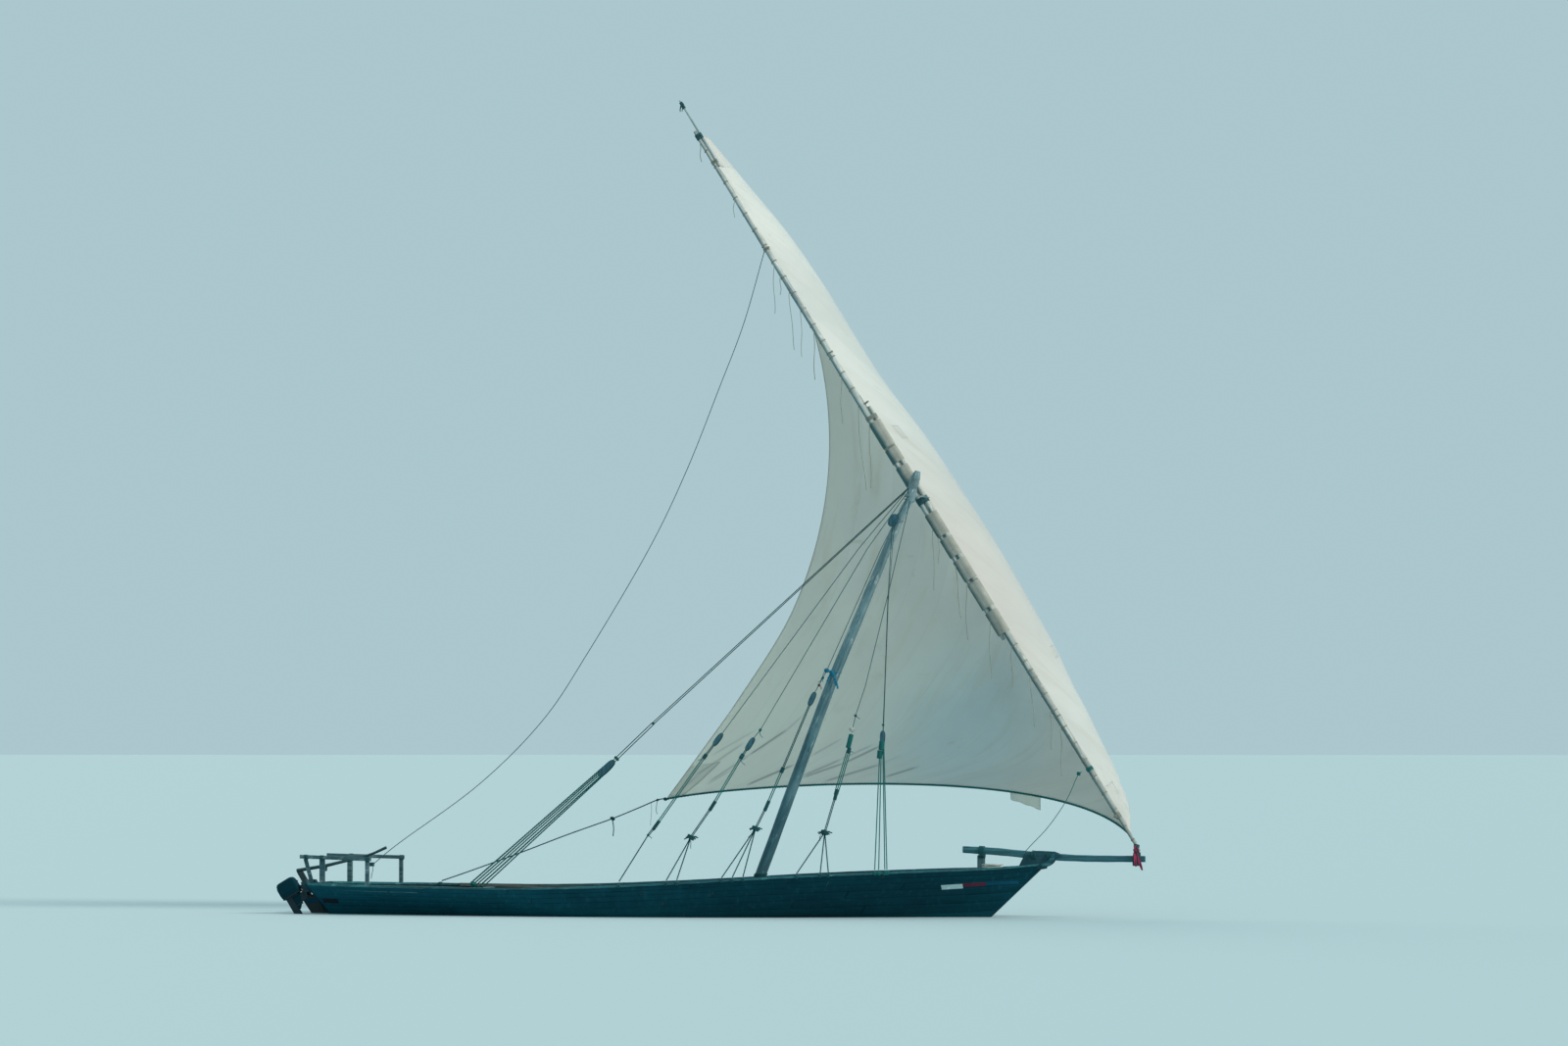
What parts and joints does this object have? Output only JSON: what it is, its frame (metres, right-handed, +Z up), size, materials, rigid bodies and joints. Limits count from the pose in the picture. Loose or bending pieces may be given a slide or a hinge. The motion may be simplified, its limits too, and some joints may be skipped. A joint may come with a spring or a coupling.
{
  "type": "sailing dhow",
  "caption": "Open wooden cargo dhow with a raked mast, a long lateen yard and its full sail, windward shrouds, a stern-hung rudder with a tiller, and an outboard motor on the transom.",
  "frame": {"origin": "on the waterline, on the centre plane, at the middle of the hull's length", "axes": "+X towards the bow, +Y to port, +Z up"},
  "size_m": [23.2874, 8.632, 23.0603],
  "materials": {
    "black_hull": "tarred, worn",
    "grey_wood": "weathered, bare",
    "brown_wood": "oiled, worn",
    "spar_wood": "weathered, bare",
    "rope": "laid rope, faded",
    "canvas": "stained cotton canvas",
    "iron": "rusted",
    "motor_plastic": "satin",
    "motor_metal": "satin"
  },
  "bodies": {
    "hull": {"keel": "black_hull", "stem": "black_hull", "sternpost": "black_hull", "planking_port": "black_hull", "planking_starboard": "black_hull", "transom": "black_hull", "rail_port": "grey_wood", "rail_starboard": "grey_wood", "hold_frames": "brown_wood", "hold_floor": "brown_wood", "foredeck": "grey_wood", "afterdeck": "grey_wood", "bulkhead_aft": "brown_wood", "bulkhead_forward": "brown_wood", "hold_beam_aft": "grey_wood", "hold_beam_middle": "grey_wood", "mast_beam": "grey_wood", "mast": "spar_wood", "mast_step": "brown_wood", "yard_lower": "spar_wood", "yard_upper": "spar_wood", "yard_tip": "spar_wood", "parrel": "rope", "tack_strop": "rope", "bowsprit": "grey_wood", "bow_bitt": "grey_wood", "stern_rail_port": "grey_wood", "stern_rail_starboard": "grey_wood", "rudder_gudgeon_lower": "iron", "rudder_gudgeon_upper": "iron", "motor_pad": "grey_wood", "motor_bracket": "motor_metal", "shroud_1": "rope", "shroud_2": "rope", "shroud_3": "rope", "shroud_4": "rope", "halyard_block": "brown_wood", "halyard_tackle": "rope", "backstay": "rope", "peak_vang": "rope"},
    "sail": {"sail": "canvas"},
    "rudder": {"rudder": "brown_wood", "tiller": "grey_wood"},
    "motor": {"motor_leg": "motor_metal", "motor_cowl": "motor_plastic"},
    "propeller": {"motor_propeller": "motor_metal"}
  },
  "joints": [
    {"name": "rudder_steer", "type": "hinge", "parent": "hull", "child": "rudder", "pos_m": [-9.637, 0, 0], "axis": [-0.5145, 0, 0.8575], "range_deg": [-35, 35]},
    {"name": "sail_swing", "type": "hinge", "parent": "hull", "child": "sail", "pos_m": [12.29567, 0, 1.93459], "axis": [-0.5257, 0.0206, 0.8504], "range_deg": [-25, 12]},
    {"name": "motor_steer", "type": "hinge", "parent": "hull", "child": "motor", "pos_m": [-10.17145, -0.78, 0.46913], "axis": [-0.5145, 0, 0.8575], "range_deg": [-30, 30]},
    {"name": "propeller_spin", "type": "hinge", "parent": "motor", "child": "propeller", "pos_m": [-10.0233, -0.78, -0.5266], "axis": [0.8575, 0, 0.5145], "continuous": true}
  ]
}
